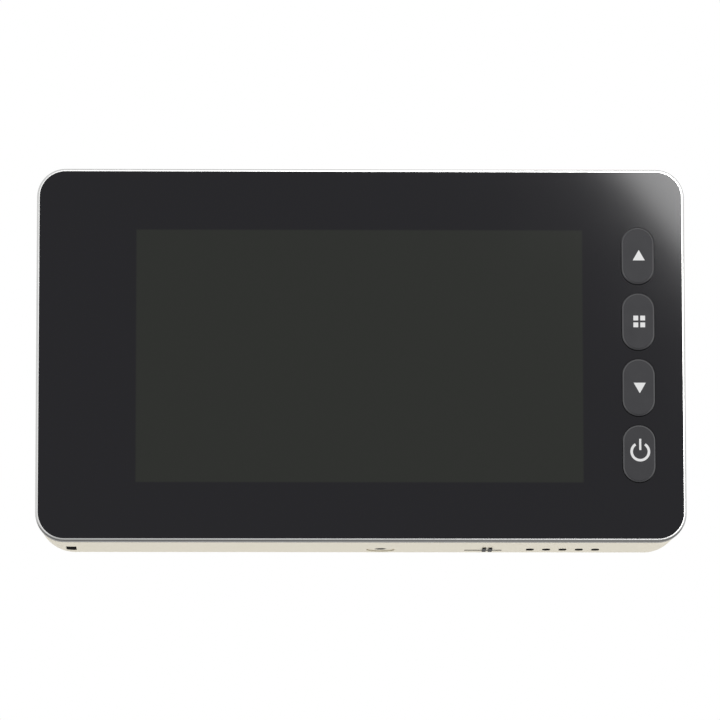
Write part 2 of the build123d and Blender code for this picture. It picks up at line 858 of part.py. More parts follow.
def mounted(x_share, z_share, width, height, thick):
    """A part on the main board's front face, placed by its shares of the board."""
    x = board_left + x_share * board_width
    z = board_bottom + z_share * (board_top - board_bottom)
    return block(x - width / 2, x + width / 2, board_y_front - thick, board_y_front,
                 z - height / 2, z + height / 2)


def board_chips():
    """Processor, two memory chips, a coil and two capacitors on the main board."""
    group = [
        mounted(processor_x_share, processor_z_share, chip_side, chip_side, chip_height),
        mounted(memory_x_share, processor_z_share, memory_width, memory_height, memory_thick),
        mounted(coil_x_share, coil_z_share, coil_side, coil_side, coil_height),
    ]
    z = board_bottom + coil_z_share * (board_top - board_bottom)
    for share in capacitor_x_shares:
        x = board_left + share * board_width
        group.append(rod(capacitor_radius, board_y_front - capacitor_height, board_y_front, x, z))
    return Compound(group)


def shield_can():
    """Folded steel can over the board's radio-quiet corner."""
    return mounted(can_x_share, can_z_share, can_width, can_height, can_depth)


def screw(x, z, head_y, toward, length):
    """A round-head screw along Y: its head's seat, the way it points, and its length under the head."""
    head = sorted((head_y, head_y - toward * screw_head_height))
    shank = sorted((head_y, head_y + toward * length))
    return rod(screw_head_radius, *head, x, z) + rod(screw_radius, *shank, x, z)


def board_screws():
    """Three screws that hold the main board on the housing's posts."""
    return Compound([screw(x, z, board_y_front, 1, board_thick + screw_bite - fit) for x, z in board_posts])


def housing_screw_set():
    """Four screws down the housing's wells into the front frame."""
    length = well_seat_y - well_front + fit + screw_bite / 2
    return Compound([screw(x, z, well_seat_y, -1, length) for x, z in housing_screws])


def ribbon_socket():
    """Socket in the monitor's back that drops over the ribbon's plug, with pins to the main board."""
    plug_front = plug_y - plug_depth / 2 - plug_play
    plug_back = plug_y + plug_depth / 2 + plug_play
    half = plug_width / 2 + plug_play
    body = block(door_hole_x - socket_half, door_hole_x + socket_half, pocket_floor, plug_back + socket_wall,
                 socket_low, socket_top)
    body -= block(door_hole_x - half, door_hole_x + half, plug_front, plug_back, socket_low - over,
                  plug_top + plug_play)
    pin_z = (socket_low + socket_top) / 2
    for pin in range(socket_pins):
        x = door_hole_x + (pin - (socket_pins - 1) / 2) * socket_pin_pitch
        body += rod(socket_pin_radius, board_y_back, pocket_floor + over / 2, x, pin_z)
    return body


def slide_switch():
    """Slide switch on the board's toe, open below for the slider's stem."""
    low = floor_z + fit + slider_base_thick + switch_lift
    body = block(slot_x - switch_width / 2, slot_x + switch_width / 2,
                 board_y_back, board_y_back + switch_depth, low, low + switch_height)
    half = (knob_travel + slider_stem) / 2 + fit
    stem_y = board_y_back + switch_depth / 2
    stem_half = slider_stem / 2 + fit
    return body - block(slot_x - half, slot_x + half, stem_y - stem_half, stem_y + stem_half, low - over,
                        low + slider_stem_reach + air)


def power_slider():
    """Black slider: a base inside the underside, a ribbed finger pad below it and a stem in the switch."""
    x = slot_x + knob_travel / 2
    half = (slot_length + knob_travel) / 2 + slider_base_margin
    stem_y = board_y_back + switch_depth / 2
    base_low = floor_z + fit
    base_top = base_low + slider_base_thick
    slider = block(x - half, x + half, stem_y - slider_stem, slot_y + slider_base_width / 2,
                   base_low, base_top)
    knob_y = slot_width / 2 - fit
    knob_low = underside_z - knob_proud
    slider += block(x - knob_width / 2, x + knob_width / 2, slot_y - knob_y, slot_y + knob_y,
                    knob_low, base_low)
    slider += block(x - knob_width / 2, x + knob_width / 2, slot_y - knob_pad, slot_y + knob_y,
                    knob_low, underside_z - knob_air)
    groove = knob_width / 2 - knob_rib
    slider -= block(x - groove, x + groove, slot_y - knob_pad - over, slot_y + over,
                    knob_low - over, knob_low + knob_groove)
    stem = slider_stem / 2
    stem_top = base_top + switch_lift + slider_stem_reach
    return slider + block(x - stem, x + stem, stem_y - stem, stem_y + stem, base_top, stem_top)


def speaker():
    """Oblong speaker that faces down over the five sound slots, with a raised magnet on its back."""
    low = floor_z + speaker_gasket_thick
    half = speaker_length / 2
    deep = speaker_breadth / 2
    frame = block(speaker_x - half, speaker_x + half, speaker_y - deep, speaker_y + deep,
                  low, low + speaker_height / 2)
    magnet = deep - cradle_wall
    return frame + upright(magnet, low + speaker_height / 2, low + speaker_height, speaker_x, speaker_y)


def speaker_gasket():
    """Foam frame between the speaker and the underside."""
    half = speaker_length / 2
    deep = speaker_breadth / 2
    rim = speaker_gasket_rim
    top = floor_z + speaker_gasket_thick
    gasket = block(speaker_x - half, speaker_x + half, speaker_y - deep, speaker_y + deep, floor_z, top)
    return gasket - block(speaker_x - half + rim, speaker_x + half - rim, speaker_y - deep + rim,
                          speaker_y + deep - rim, floor_z - over, top + over)


def lock_screw():
    """Screw through the underside into the bracket's tab, with a hexagon socket in its head."""
    body = upright(lock_radius, lock_low, tab_z + bracket_thick + lock_point, door_hole_x, lock_y)
    body = chamfer(body.edges().group_by(Axis.Z)[-1], lock_bevel)
    body += upright(lock_head_radius, lock_low, lock_shoulder, door_hole_x, lock_y)
    socket_plane = Plane((door_hole_x, lock_y, lock_low - over))
    return body - extrude(socket_plane * RegularPolygon(lock_socket / 2, 6, major_radius=False),
                          amount=over + lock_socket_depth)


def bracket():
    """Pressed steel bracket: a plate with four upturned hooks and a tab for the lock screw."""
    height = bracket_top - bracket_bottom
    middle = (bracket_top + bracket_bottom) / 2
    plate = slab(bracket_width, height, bracket_corner, bracket_front, pad_front, door_hole_x, middle)
    half = tab_width / 2
    plate += block(door_hole_x - half, door_hole_x + half, bracket_front, pad_front, tab_z,
                   bracket_bottom + bracket_corner)
    plate += block(door_hole_x - half, door_hole_x + half, tab_front, pad_front, tab_z, tab_z + bracket_thick)
    for z in (hook_high_z, hook_low_z):
        for side in (-1, 1):
            x = door_hole_x + side * hook_x
            near = x - bracket_hook_width / 2
            far = x + bracket_hook_width / 2
            plate += block(near, far, bracket_tongue_front, bracket_front, z, z + bracket_thick)
            tip = z + bracket_thick + tongue_rise
            plate += block(near, far, bracket_tongue_front, bracket_tongue_back, z, tip)
    plate -= upright(lock_radius + lock_play, tab_z - over, tab_z + bracket_thick + over,
                     door_hole_x, lock_y)
    slot_half = ribbon_width / 2 + ribbon_slot_play
    slot_high = ribbon_thick / 2 + ribbon_slot_play
    plate -= block(door_hole_x - slot_half, door_hole_x + slot_half, bracket_front - over, pad_front + over,
                   -slot_high, slot_high)
    for side in (-1, 1):
        hole = clamp_radius + clamp_hole_play
        plate -= rod(hole, bracket_front - over, pad_front + over, door_hole_x, side * clamp_z)
    return plate


def bracket_pad():
    """Adhesive foam pad between the bracket and the door, open around the hole."""
    height = bracket_top - bracket_bottom - 2 * pad_margin
    middle = (bracket_top + bracket_bottom) / 2
    width = bracket_width - 2 * pad_margin
    pad = slab(width, height, bracket_corner, pad_front, 0, door_hole_x, middle)
    return pad - rod(pad_hole_radius, pad_front - over, over, door_hole_x, 0)


def clamp_screws():
    """Two long screws that pull the outdoor camera to the bracket through the door."""
    group = []
    for side in (-1, 1):
        z = side * clamp_z
        head = rod(clamp_head_radius, bracket_front - clamp_head_height, bracket_front, door_hole_x, z)
        group.append(head + rod(clamp_radius, bracket_front, clamp_end, door_hole_x, z))
    return Compound(group)


def ribbon_cable():
    """Flat cable from the camera board through the barrel and the bracket, turned up to its plug."""
    corner = (door_hole_x, plug_y, 0)
    route = Polyline((door_hole_x, camera_board_back, 0), corner, (door_hole_x, plug_y, plug_low))
    path = fillet(route.vertices().sort_by_distance(corner)[0], ribbon_bend)
    return bent_strip(path, ribbon_width, ribbon_thick, door_hole_x)


def ribbon_plug():
    """Plug on the ribbon's indoor end, which stands up into the socket."""
    half = plug_width / 2
    deep = plug_depth / 2
    return block(door_hole_x - half, door_hole_x + half, plug_y - deep, plug_y + deep, plug_low, plug_top)


def door_barrel():
    """Barrel in the door's hole, flanged inside the camera, with two screw holes and a ribbon slot."""
    barrel = rod(barrel_radius, barrel_end, outer_inside, door_hole_x, 0)
    barrel += rod(barrel_flange_radius, outer_inside, outer_inside + barrel_flange_thick, door_hole_x, 0)
    slot_half = ribbon_width / 2 + ribbon_slot_play
    slot_high = ribbon_thick / 2 + ribbon_slot_play
    flange_face = outer_inside + barrel_flange_thick
    barrel -= block(door_hole_x - slot_half, door_hole_x + slot_half, barrel_end - over, flange_face + over,
                    -slot_high, slot_high)
    for side in (-1, 1):
        hole = clamp_radius + clamp_play
        barrel -= rod(hole, barrel_end - over, clamp_end + clamp_tail, door_hole_x, side * clamp_z)
    return barrel


def outdoor_gasket():
    """Foam gasket between the outdoor camera and the door, open around the barrel."""
    width = outer_width - 2 * pad_margin
    height = outer_height - 2 * pad_margin
    gasket = slab(width, height, outer_corner - pad_margin, door_thick, outer_y, door_hole_x, outer_z)
    return gasket - rod(pad_hole_radius, door_thick - over, outer_y + over, door_hole_x, 0)


def outdoor_housing():
    """Die-cast cup of the outdoor camera, with a rebate for its face and four board posts."""
    cup = slab(outer_width, outer_height, outer_corner, outer_y, outer_front, door_hole_x, outer_z)
    cup = fillet(cup.edges().group_by(Axis.Y)[-1], outer_round)
    room = (cup_room_width, cup_room_height, cup_room_corner)
    cup -= slab(*room, outer_inside, outer_front + over, door_hole_x, outer_z)
    cup -= slab(face_width, face_height, face_corner, seal_back, outer_front + over, door_hole_x, outer_z)
    for x, z in camera_screws:
        cup += rod(camera_post_radius, outer_inside, camera_board_back, door_hole_x + x, z)
        hole_end = camera_board_back - camera_screw_bite - fit
        cup -= rod(screw_radius + screw_play, hole_end, camera_board_back + over, door_hole_x + x, z)
    return cup - rod(barrel_radius + clamp_play, outer_y - over, outer_inside + over, door_hole_x, 0)


def face_seal():
    """Rubber seal in the rebate behind the outdoor face."""
    size = (face_width - 2 * fit, face_height - 2 * fit, face_corner - fit)
    seal = slab(*size, seal_back, face_back, door_hole_x, outer_z)
    inner = (size[0] - 2 * seal_width, size[1] - 2 * seal_width, size[2] - seal_width)
    return seal - slab(*inner, seal_back - over, face_back + over, door_hole_x, outer_z)


def outdoor_face():
    """Black outdoor face with a hole for the lens and one for the bell push."""
    size = (face_width - 2 * fit, face_height - 2 * fit, face_corner - fit)
    face = slab(*size, face_back, outer_front, door_hole_x, outer_z)
    face -= rod(lens_hole_radius, face_back - over, outer_front + over, door_hole_x, lens_z)
    return face - rod(bell_radius + bell_gap, face_back - over, outer_front + over, door_hole_x, bell_z)


def ring(inner_radius, outer_radius, y_front, y_rear, z):
    """A flat ring around the lens or the bell push."""
    band = rod(outer_radius, y_front, y_rear, door_hole_x, z)
    return band - rod(inner_radius, y_front - over, y_rear + over, door_hole_x, z)


def camera_board():
    """Circuit board of the outdoor camera, on its four posts."""
    size = (cup_room_width - 2 * fit, cup_room_height - 2 * fit, cup_room_corner - fit)
    board = slab(*size, camera_board_back, camera_board_front, door_hole_x, outer_z)
    for x, z in camera_screws:
        board -= rod(screw_radius + screw_play, camera_board_back - over, camera_board_front + over,
                     door_hole_x + x, z)
    return board


def camera_board_screws():
    """Four screws that hold the camera board."""
    length = camera_board_thick + camera_screw_bite
    return Compound([
        screw(door_hole_x + x, z, camera_board_front, -1, length) for x, z in camera_screws
    ])


def lens_holder():
    """Square holder over the image sensor, bored for the lens barrel."""
    half = lens_holder_side / 2
    top = camera_board_front + lens_holder_height
    holder = block(door_hole_x - half, door_hole_x + half, camera_board_front, top,
                   lens_z - half, lens_z + half)
    return holder - rod(lens_radius + clamp_play, camera_board_front - over, top + over, door_hole_x, lens_z)


def lens_barrel():
    """Round lens barrel, stepped at its front for the glass."""
    front = outer_front + lens_barrel_front
    rear = camera_board_front + lens_holder_height / 2
    barrel = rod(lens_radius, rear, front, door_hole_x, lens_z)
    barrel -= rod(lens_glass_radius - seal_width, rear - over, front + over, door_hole_x, lens_z)
    step = lens_glass_radius + clamp_play
    return barrel - rod(step, front - lens_glass_thick, front + over, door_hole_x, lens_z)


def lens_glass():
    """Front lens: a disc with a domed outer face."""
    front = outer_front + lens_barrel_front
    sphere_radius = (lens_glass_radius ** 2 + lens_glass_rise ** 2) / (2 * lens_glass_rise)
    disc = rod(lens_glass_radius, front - lens_glass_thick, front + lens_glass_rise, door_hole_x, lens_z)
    return disc & Pos(door_hole_x, front + lens_glass_rise - sphere_radius, lens_z) * Sphere(sphere_radius)


def rear_lens():
    """Second lens, inside the barrel."""
    rear = camera_board_front + lens_holder_height / 2
    radius = lens_glass_radius - seal_width - clamp_play
    return rod(radius, rear + over, rear + over + lens_glass_thick, door_hole_x, lens_z)


def image_sensor():
    """Image sensor on the camera board, under the lens."""
    half = sensor_side / 2
    top = camera_board_front + sensor_thick
    return block(door_hole_x - half, door_hole_x + half, camera_board_front, top,
                 lens_z - half, lens_z + half)


def infrared_lamps():
    """Night lamps around the lens, each a bevelled cylinder."""
    group = []
    for step in range(infrared_count):
        angle = math.radians(45 + step * 360 / infrared_count)
        x = door_hole_x + infrared_circle * math.cos(angle)
        z = lens_z + infrared_circle * math.sin(angle)
        lamp = rod(infrared_radius, camera_board_front, camera_board_front + infrared_height, x, z)
        group.append(chamfer(lamp.edges().group_by(Axis.Y)[-1], infrared_bevel))
    return Compound(group)


def bell_button():
    """Bell push: a round cap through the face, a flange behind it and a post to its switch."""
    cap = rod(bell_radius, bell_flange_out, outer_front + bell_proud, door_hole_x, bell_z)
    cap = chamfer(cap.edges().group_by(Axis.Y)[-1], bell_bevel)
    flange = rod(bell_radius + bell_flange_lip, bell_flange_in, bell_flange_out, door_hole_x, bell_z)
    return cap + flange + rod(bell_post_radius, bell_post_end, bell_flange_in, door_hole_x, bell_z)


def bell_switch():
    """Tact switch behind the bell push."""
    half = bell_switch_side / 2
    body = block(door_hole_x - half, door_hole_x + half, camera_board_front, bell_switch_face, bell_z - half,
                 bell_z + half)
    return body + rod(bell_plunger_radius, bell_switch_face, bell_switch_tip, door_hole_x, bell_z)


pieces = {
    "front_panel": front_panel(),
    "panel_tape": panel_tape(),
    "bezel_ring": ring_bezel(),
    "front_frame": front_frame(),
    "lcd_panel": lcd_panel(),
    "lcd_chassis": lcd_chassis(),
    "lcd_flex": lcd_flex(),
    "flex_socket": flex_socket(),
    "key_board": key_board(),
    "key_switches": key_switches(),
    "key_header": key_header(),
    "rear_housing": rear_housing(),
    "battery_cover": battery_cover(),
    "battery_cells": cells(),
    "battery_contacts": contacts(),
    "main_board": main_board(),
    "board_chips": board_chips(),
    "shield_can": shield_can(),
    "board_screws": board_screws(),
    "housing_screws": housing_screw_set(),
    "ribbon_socket": ribbon_socket(),
    "slide_switch": slide_switch(),
    "power_slider": power_slider(),
    "speaker": speaker(),
    "speaker_gasket": speaker_gasket(),
    "lock_screw": lock_screw(),
    "bracket": bracket(),
    "bracket_pad": bracket_pad(),
    "clamp_screws": clamp_screws(),
    "ribbon_cable": ribbon_cable(),
    "ribbon_plug": ribbon_plug(),
    "door_barrel": door_barrel(),
    "outdoor_gasket": outdoor_gasket(),
    "outdoor_housing": outdoor_housing(),
    "face_seal": face_seal(),
    "outdoor_face": outdoor_face(),
    "lens_ring": ring(lens_radius + bell_gap, lens_ring_radius, outer_front, outer_front + lens_ring_proud,
                      lens_z),
    "lens_holder": lens_holder(),
    "lens_barrel": lens_barrel(),
    "lens_glass": lens_glass(),
    "rear_lens": rear_lens(),
    "image_sensor": image_sensor(),
    "camera_board": camera_board(),
    "camera_board_screws": camera_board_screws(),
    "infrared_lamps": infrared_lamps(),
    "bell_button": bell_button(),
    "bell_ring": ring(bell_radius + bell_gap, bell_radius + bell_gap + bell_ring_width, outer_front,
                      outer_front + bell_ring_proud, bell_z),
    "bell_switch": bell_switch(),
}
for key_name, key_z in zip(key_names, key_places):
    pieces[key_name] = key(key_z)

# The origin is on the door hole's axis, so every piece moves there from the monitor's centre line
os.makedirs("parts", exist_ok=True)
for node, shape in pieces.items():
    export_step(Pos(-door_hole_x, 0, 0) * shape, f"parts/{node}.step")
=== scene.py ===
import math

import bmesh
import bpy
import numpy as np
from mathutils import Matrix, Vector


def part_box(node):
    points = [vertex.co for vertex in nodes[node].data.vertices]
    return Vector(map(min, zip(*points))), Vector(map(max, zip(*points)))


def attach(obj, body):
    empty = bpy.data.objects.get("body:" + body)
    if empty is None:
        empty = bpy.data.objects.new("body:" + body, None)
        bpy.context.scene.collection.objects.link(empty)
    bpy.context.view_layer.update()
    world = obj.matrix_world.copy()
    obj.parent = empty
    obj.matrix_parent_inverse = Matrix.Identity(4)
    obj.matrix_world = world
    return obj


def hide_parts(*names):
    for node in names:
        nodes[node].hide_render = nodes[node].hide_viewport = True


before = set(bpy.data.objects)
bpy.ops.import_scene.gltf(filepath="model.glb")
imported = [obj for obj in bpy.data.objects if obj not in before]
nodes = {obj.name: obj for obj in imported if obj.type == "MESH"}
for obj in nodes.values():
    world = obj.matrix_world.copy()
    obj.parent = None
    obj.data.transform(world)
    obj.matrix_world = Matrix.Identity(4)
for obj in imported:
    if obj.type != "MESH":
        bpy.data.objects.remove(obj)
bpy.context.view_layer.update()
mm = 0.001

# Camera
# A long lens stands well back and a little below the viewer and looks up at its screen, so that only
# a narrow strip of the underside shows below the panel.
camera_place = (-29.6 * mm, -1375.7 * mm, -209.8 * mm)
camera_yaw = math.radians(1.059)
camera_pitch = math.radians(8.769)
camera_roll = math.radians(-0.076)
camera_lens = 321.5
camera_sensor = 36.0
camera_far = 20.0


def aim(yaw, pitch, roll):
    """Rotation of a camera or lamp: yaw to the right of +Y, pitch up, then roll about the view."""
    flat = math.cos(pitch)
    forward = np.array((math.sin(yaw) * flat, math.cos(yaw) * flat, math.sin(pitch)))
    level = np.array((math.cos(yaw), -math.sin(yaw), 0.0))
    rise = np.cross(level, forward)
    right = math.cos(roll) * level + math.sin(roll) * rise
    up = math.cos(roll) * rise - math.sin(roll) * level
    return Matrix(np.column_stack((right, up, -forward)).tolist()).to_4x4()


camera_data = bpy.data.cameras.new("camera")
camera_data.lens = camera_lens
camera_data.sensor_width = camera_sensor
camera_data.clip_end = camera_far
camera = bpy.data.objects.new("camera", camera_data)
camera.matrix_world = Matrix.Translation(camera_place) @ aim(camera_yaw, camera_pitch, camera_roll)
bpy.context.scene.collection.objects.link(camera)
bpy.context.scene.camera = camera
bpy.context.scene.view_settings.view_transform = "Standard"

# Softbox and back fill
# One square softbox stands high on the right, turned on its stand, and the panel mirrors its lowest
# corner. A wide weak lamp on the door side lifts the outdoor camera.
softbox_corner = (205.2 * mm, -1200 * mm, 153.0 * mm)
softbox_side = 360 * mm
softbox_turn = math.radians(38.5)
softbox_power = 8.0
fill_place = (0.5, 1.3, 0.9)
fill_side = 0.9
fill_power = 10.0
fill_yaw = math.radians(-160)
fill_pitch = math.radians(-33)


def softbox(name, place, size, power, yaw, pitch, roll):
    """A square area lamp that faces the way its yaw and pitch say, turned by its roll."""
    data = bpy.data.lights.new(name, "AREA")
    data.size = size
    data.energy = power
    lamp = bpy.data.objects.new(name, data)
    lamp.matrix_world = Matrix.Translation(place) @ aim(yaw, pitch, roll)
    bpy.context.scene.collection.objects.link(lamp)
    return lamp


softbox_centre = (
    softbox_corner[0] + softbox_side / 2 * (math.cos(softbox_turn) - math.sin(softbox_turn)),
    softbox_corner[1],
    softbox_corner[2] + softbox_side / 2 * (math.cos(softbox_turn) + math.sin(softbox_turn)),
)
softbox("softbox_right", softbox_centre, softbox_side, softbox_power, 0.0, 0.0, softbox_turn)
back_fill = softbox("softbox_back", fill_place, fill_side, fill_power, fill_yaw, fill_pitch, 0.0)
back_fill.visible_glossy = False

# Floor and white room
# Matt white paper on the floor of a white room. The camera, mirrored rays and refracted rays see
# both as plain white. The paper keeps the shadow, and from below it lets the view through.
floor_height = -300 * mm
floor_reach = 6.0
paper_white = 0.82
paper_rough = 0.8
paper_glow = 0.44
room_level = 0.62


class Reading:
    """A value read from a node's output. Python's own signs on it add Math nodes."""

    def __init__(self, finish, socket):
        self.finish = finish
        self.socket = socket

    def math(self, operation, first, second):
        return self.finish.node("ShaderNodeMath", {"operation": operation}, {0: first, 1: second})

    def __add__(self, other):
        return self.math("ADD", self, other)

    def __sub__(self, other):
        return self.math("SUBTRACT", self, other)

    def __rsub__(self, other):
        return self.math("SUBTRACT", other, self)

    def __mul__(self, other):
        return self.math("MULTIPLY", self, other)

    def __truediv__(self, other):
        return self.math("DIVIDE", self, other)

    def __lt__(self, other):
        return self.math("LESS_THAN", self, other)

    def __gt__(self, other):
        return self.math("GREATER_THAN", self, other)

    def __abs__(self):
        return self.math("ABSOLUTE", self, 0.0)

    __radd__ = __add__
    __rmul__ = __mul__

    def most(self, other):
        return self.math("MAXIMUM", self, other)

    def least(self, other):
        return self.math("MINIMUM", self, other)

    def span(self, other):
        """Straight distance from two distances at a right angle: the root of the sum of squares."""
        return self.math("SQRT", self * self + other * other, 0.0)

    def wrapped(self, pitch):
        """How far through a step of this pitch the value is, from 0 to 1. A thousand steps are added
        first, so that values below 0 count upwards too."""
        return self.math("MODULO", self + 1000 * pitch, pitch) / pitch

    def ridge(self, pitch):
        """Ridges of this pitch: 0 in the middle of a step and 1 at its ends."""
        return abs(self.wrapped(pitch) - 0.5) * 2.0


class Finish:
    """A material: one Principled shader with its fixed values, and the nodes that feed it."""

    def __init__(self, name, colour, roughness, metallic=0.0, **fixed):
        self.material = bpy.data.materials.new(name)
        self.material.use_nodes = True
        self.tree = self.material.node_tree
        self.shader = self.tree.nodes["Principled BSDF"]
        self.shader.inputs["Base Color"].default_value = (*colour, 1.0)
        self.shader.inputs["Roughness"].default_value = roughness
        self.shader.inputs["Metallic"].default_value = metallic
        for socket, value in fixed.items():
            self.shader.inputs[socket.replace("_", " ")].default_value = value
        self.place = self.node("ShaderNodeTexCoord", {}, {}, "Object")

    def node(self, kind, settings, sockets, out=0):
        """A node of one kind, with its settings and what its sockets hold: numbers or readings."""
        made = self.tree.nodes.new(kind)
        for setting, value in settings.items():
            setattr(made, setting, value)
        for socket, value in sockets.items():
            if isinstance(value, Reading):
                self.tree.links.new(value.socket, made.inputs[socket])
            else:
                made.inputs[socket].default_value = value
        return Reading(self, made.outputs[out])

    def along(self, axis):
        """Place along one axis of the frame, in metres."""
        return self.node("ShaderNodeSeparateXYZ", {}, {0: self.place}, axis)

    def facing(self, axis):
        """How far the surface faces along one axis, from -1 to 1."""
        normal = self.node("ShaderNodeTexCoord", {}, {}, "Normal")
        return self.node("ShaderNodeSeparateXYZ", {}, {0: normal}, axis)

    def noise(self, size, detail=3.0, stretch=(1.0, 1.0, 1.0)):
        """Noise with specks of about this size, drawn out along an axis whose stretch is under 1."""
        scale = tuple(part / size for part in stretch)
        spread = self.node("ShaderNodeMapping", {}, {"Vector": self.place, "Scale": scale})
        sockets = {"Vector": spread, "Scale": 1.0, "Detail": detail}
        return self.node("ShaderNodeTexNoise", {}, sockets)

    def between(self, share, first, second):
        """Two colours mixed by a share that is kept within 0 and 1."""
        first, second = (side if isinstance(side, Reading) else (*side, 1.0) for side in (first, second))
        kinds = {"data_type": "RGBA", "clamp_factor": True}
        return self.node("ShaderNodeMix", kinds, {0: share, 6: first, 7: second}, 2)

    def feed(self, socket, reading):
        self.tree.links.new(reading.socket, self.shader.inputs[socket])

    def uneven(self, low, spread, noise):
        """Roughness that rises from low by up to the spread, as the noise does."""
        self.feed("Roughness", low + spread * noise)

    def relief(self, height, depth):
        """Bump from a height of 0 to 1, and the depth that 1 stands for."""
        bump = self.node("ShaderNodeBump", {}, {"Height": height, "Distance": depth, "Strength": 1.0})
        self.feed("Normal", bump)

    def on(self, *names):
        for name in names:
            slots = nodes[name].data.materials
            slots.clear()
            slots.append(self.material)


def grey(level):
    return (level, level, level)


floor_mesh = bpy.data.meshes.new("floor")
floor_signs = ((-1, -1), (1, -1), (1, 1), (-1, 1))
floor_corners = [(x * floor_reach, y * floor_reach, floor_height) for x, y in floor_signs]
floor_mesh.from_pydata(floor_corners, [], [(0, 1, 2, 3)])
floor = bpy.data.objects.new("floor", floor_mesh)
bpy.context.scene.collection.objects.link(floor)

paper = Finish("floor", grey(paper_white), paper_rough, Emission_Strength=paper_glow)
camera_ray, glossy_ray, through_ray = (
    paper.node("ShaderNodeLightPath", {}, {}, f"Is {kind} Ray")
    for kind in ("Camera", "Glossy", "Transmission")
)
paper.feed("Emission Color", camera_ray.most(glossy_ray).most(through_ray))
clear = paper.node("ShaderNodeBsdfTransparent", {}, {})
under = paper.node("ShaderNodeNewGeometry", {}, {}, "Backfacing")
surface = Reading(paper, paper.shader.outputs["BSDF"])
seen = paper.node("ShaderNodeMixShader", {}, {0: under, 1: surface, 2: clear})
paper.tree.links.new(seen.socket, paper.tree.nodes["Material Output"].inputs["Surface"])
floor.data.materials.append(paper.material)

world = bpy.data.worlds.new("studio")
bpy.context.scene.world = world
world.use_nodes = True
room = world.node_tree
rays = room.nodes.new("ShaderNodeLightPath")
seen_plainly = rays.outputs["Is Camera Ray"]
for kind in ("Glossy", "Transmission"):
    either = room.nodes.new("ShaderNodeMath")
    either.operation = "MAXIMUM"
    room.links.new(seen_plainly, either.inputs[0])
    room.links.new(rays.outputs[f"Is {kind} Ray"], either.inputs[1])
    seen_plainly = either.outputs[0]
brightness = room.nodes.new("ShaderNodeMapRange")
brightness.inputs["To Min"].default_value = room_level
brightness.inputs["To Max"].default_value = 1.0
room.links.new(seen_plainly, brightness.inputs["Value"])
room.links.new(brightness.outputs[0], room.nodes["Background"].inputs["Strength"])
room.nodes["Background"].inputs["Color"].default_value = (1.0, 1.0, 1.0, 1.0)

# Front panel
# One sheet of cast acrylic with a polished face, printed black from behind and stuck to the inner
# frame. The print leaves a window, a little left of the middle and below it, through which the dark
# screen shows greener.
window_width = 95.4 * mm
window_height = 54.6 * mm
window_soft = 0.3 * mm
window_left = 0.3 * mm
window_drop = 0.28 * mm
print_black = (0.0050, 0.0048, 0.0070)
screen_tint = (0.0127, 0.0142, 0.0116)
acrylic = Finish("panel_acrylic", grey(0.003), roughness=0.083, Specular_IOR_Level=0.2)


def middle(box):
    """Middle of a box, from its lowest and highest corners."""
    low, high = box
    return (low + high) / 2


def in_window(axis, centre, size):
    """1 within the window along one axis and 0 past it. The distance to its edge, over the width of
    the soft edge, is kept within 0 and 1."""
    to_edge = size / 2 - abs(acrylic.along(axis) - centre)
    return (to_edge / window_soft).least(1.0).most(0.0)


panel_middle = middle(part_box("front_panel"))
across = in_window("X", panel_middle.x - window_left, window_width)
upward = in_window("Z", panel_middle.z - window_drop, window_height)
acrylic.feed("Base Color", acrylic.between(across * upward, print_black, screen_tint))
acrylic.uneven(low=0.054, spread=0.016, noise=acrylic.noise(18 * mm))
acrylic.on("front_panel")

# Bright ring
# Plated ring with a ledge that the panel rests on. Painted shade darkens the plating on the front lip,
# and more on faces turned down and along the lower side. The two small rings of the outdoor face are
# plated too.
side_plate = (0.68, 0.68, 0.675)
lip_shade_plate = (0.57, 0.57, 0.565)
down_shade_plate = (0.11, 0.11, 0.107)
shade_strip_height = 2.0 * mm
shade_strip_fade = 1.5 * mm
shade_strip_share = 0.5
down_shade_start, down_shade_growth = -0.05, 2.5
lip_shade_start, lip_shade_growth = -0.55, 3.0
edge_tint = (0.55, 0.55, 0.55, 1.0)
plating = Finish("ring_plate", grey(0.8), roughness=0.22, metallic=1.0, Specular_Tint=edge_tint)
# Painted shade: the plating is made darker on the front lip, on faces turned down and along the lowest
# strip of the ring.
low_shade_strip = (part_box("bezel_ring")[0].z + shade_strip_height - plating.along("Z")) / shade_strip_fade
down_shade = (down_shade_start - plating.facing("Z")) * down_shade_growth
lip_shade = (lip_shade_start - plating.facing("Y")) * lip_shade_growth
painted_down_shade = down_shade.most(shade_strip_share * low_shade_strip.least(1.0))
plate_with_lip_shade = plating.between(lip_shade, side_plate, lip_shade_plate)
plating.feed("Base Color", plating.between(painted_down_shade, plate_with_lip_shade, down_shade_plate))
plating.uneven(low=0.2, spread=0.06, noise=plating.noise(9 * mm))
plating.on("bezel_ring", "lens_ring", "bell_ring")

# Keys
# Four oval caps moulded in dark grey, with a painted highlight: a paler rim round the edge, on the top
# and sides but not below. A flange behind the panel keeps each one in its opening.
cap_grey = (0.0100, 0.0100, 0.0127)
rim_highlight_grey = (0.10, 0.10, 0.104)
rim_highlight_depth = 0.08 * mm
rim_highlight_start, rim_highlight_growth = -0.9, 1.6
key_plastic = Finish("key_plastic", cap_grey, roughness=0.45, Specular_IOR_Level=0.22)
key_plastic.relief(key_plastic.noise(0.25 * mm, detail=2.0), depth=0.004 * mm)
# Painted highlight: a paler rim round the cap's edge, on the top and sides but not below.
behind_face = (key_plastic.along("Y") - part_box("button_up")[0].y) / rim_highlight_depth
not_below = (key_plastic.facing("Z") - rim_highlight_start) * rim_highlight_growth
painted_rim_highlight = behind_face.least(1.0) * not_below.least(1.0)
key_plastic.feed("Base Color", key_plastic.between(painted_rim_highlight, cap_grey, rim_highlight_grey))
key_plastic.uneven(low=0.42, spread=0.06, noise=key_plastic.noise(3 * mm))
key_plastic.on("button_up", "button_menu", "button_down", "button_power")

